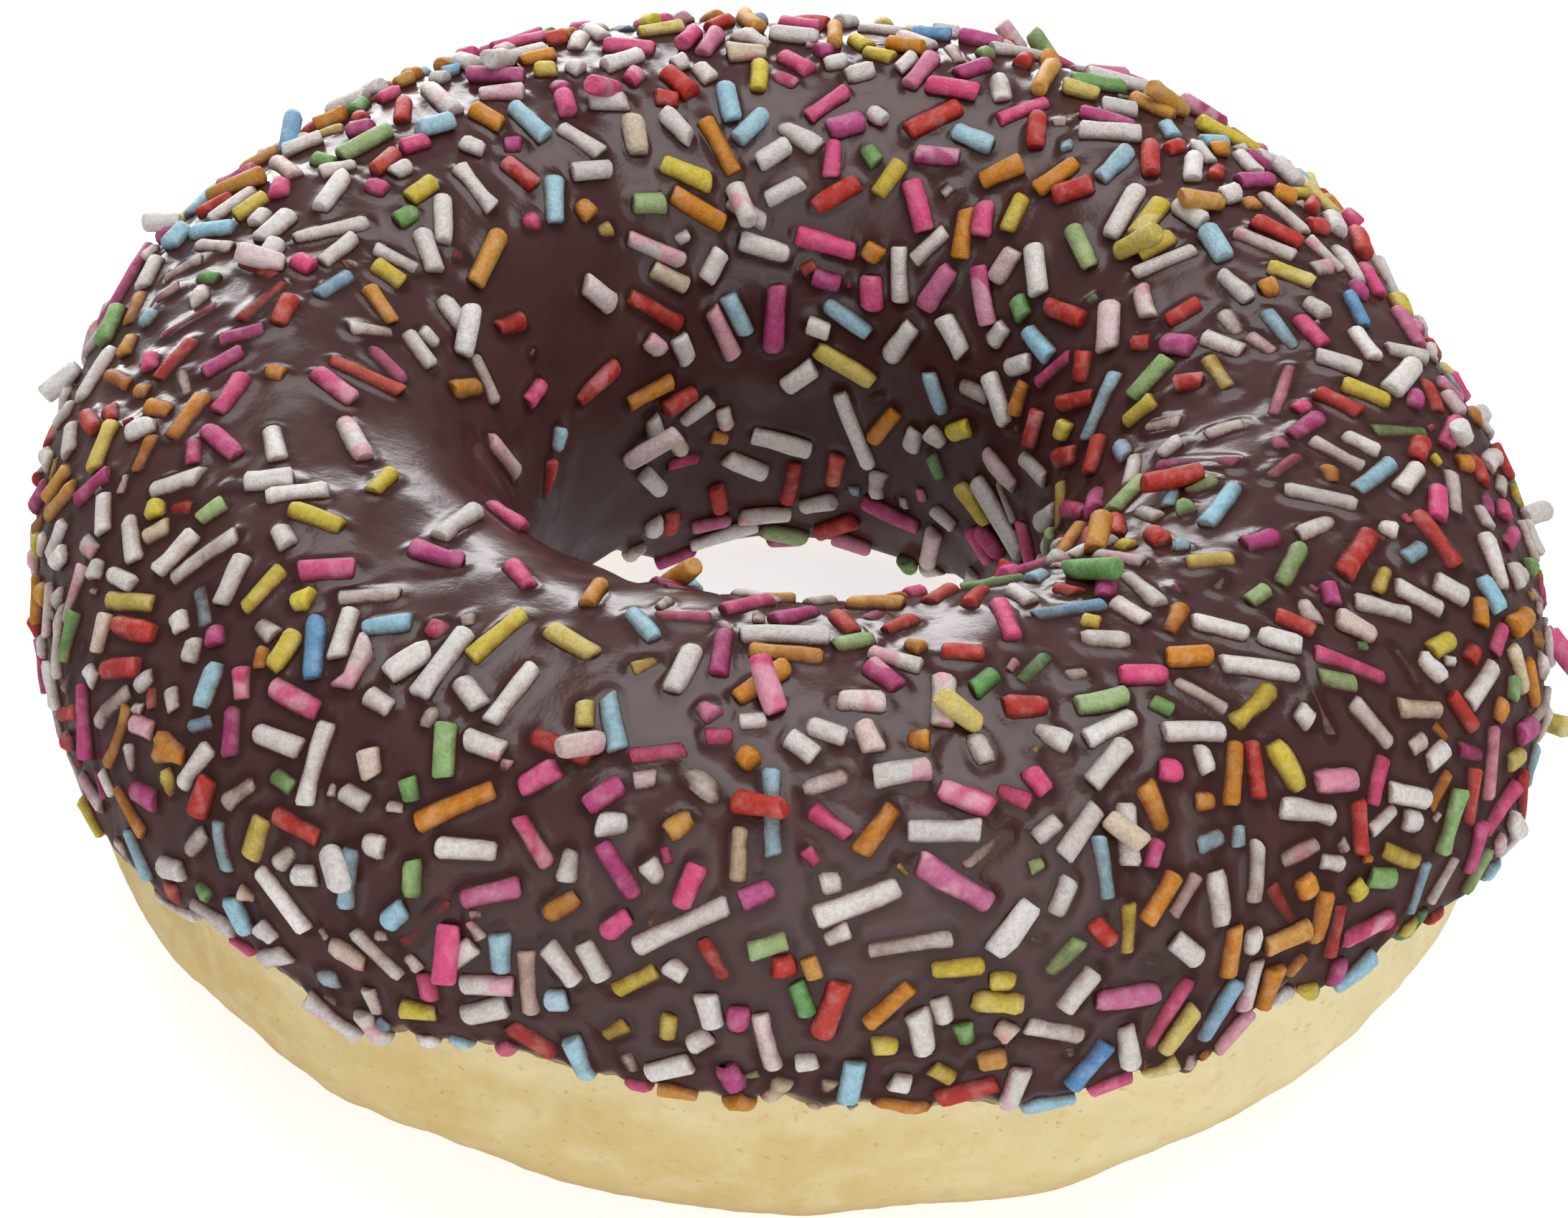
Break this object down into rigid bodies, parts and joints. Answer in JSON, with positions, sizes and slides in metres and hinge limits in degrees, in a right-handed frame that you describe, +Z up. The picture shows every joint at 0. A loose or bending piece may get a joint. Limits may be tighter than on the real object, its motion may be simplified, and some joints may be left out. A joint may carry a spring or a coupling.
{
  "type": "sprinkle frosted doughnut",
  "caption": "Ring doughnut of pale fried dough under a glossy chocolate frosting covered all over in coloured sugar sprinkles.",
  "frame": {"origin": "middle of the flat base that the doughnut rests on", "axes": "+Z up through the hole, +X to the right, +Y to the back"},
  "size_m": [0.0952, 0.0936, 0.0369],
  "materials": {
    "dough": "matte",
    "frosting": "satin",
    "sprinkles_white": "satin",
    "sprinkles_pink": "satin",
    "sprinkles_red": "satin",
    "sprinkles_yellow": "satin",
    "sprinkles_orange": "satin",
    "sprinkles_green": "satin",
    "sprinkles_blue": "satin"
  },
  "bodies": {
    "root": {"dough_ring": "dough", "chocolate_frosting": "frosting"}
  },
  "joints": []
}
